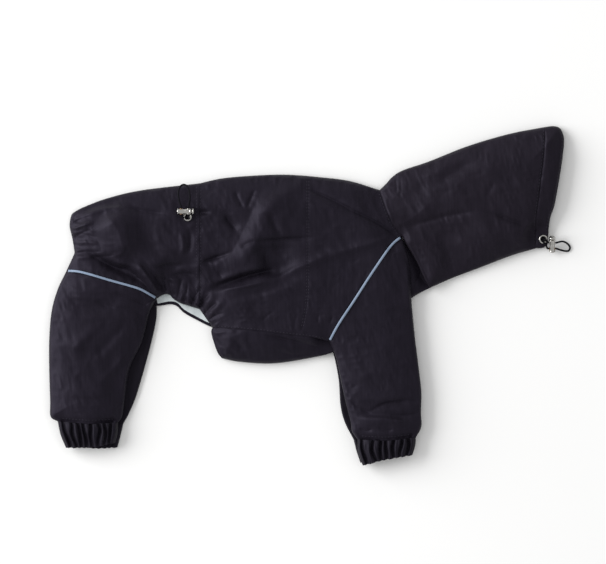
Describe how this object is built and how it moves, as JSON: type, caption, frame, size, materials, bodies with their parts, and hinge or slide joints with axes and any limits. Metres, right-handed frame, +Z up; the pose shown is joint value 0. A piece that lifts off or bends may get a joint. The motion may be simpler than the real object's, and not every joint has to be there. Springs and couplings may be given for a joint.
{
  "type": "hooded pet jacket",
  "caption": "Four-legged hooded pet suit of dark crinkled cloth with gathered cuffs, light piping and two toggled drawcord loops, lying flat on its left side.",
  "frame": {"origin": "on the table under the middle of the garment's box, measured without the two drawcord loops and their locks", "axes": "+X towards the hood's mouth, +Y towards the back, +Z up from the table the garment lies on"},
  "size_m": [0.5734, 0.3734, 0.0286],
  "materials": {
    "shell": "soft sheen, crinkled",
    "hood": "soft sheen, crinkled",
    "lining": "matt",
    "elastic": "matt, gathered",
    "piping": "satin",
    "metal": "polished",
    "cord": "matt elastic cord"
  },
  "bodies": {
    "root": {"side_right": "shell", "hip_right": "shell", "fore_leg_right": "shell", "hind_leg_right": "shell", "belly_panel": "shell", "side_left": "shell", "hip_left": "shell", "fore_leg_left": "shell", "hind_leg_left": "shell", "hood_right": "hood", "hood_left": "hood", "casing_right": "hood", "casing_left": "hood", "lining_left": "lining", "fore_cuff_right": "elastic", "hind_cuff_right": "elastic", "fore_cuff_left": "elastic", "hind_cuff_left": "elastic", "fore_piping_right": "piping", "hind_piping_right": "piping", "waist_eyelet": "metal", "hood_eyelet": "metal", "waist_lock": "metal", "waist_plunger": "metal", "hood_lock": "metal", "hood_plunger": "metal", "waist_cord": "cord", "hood_cord": "cord"}
  },
  "joints": []
}
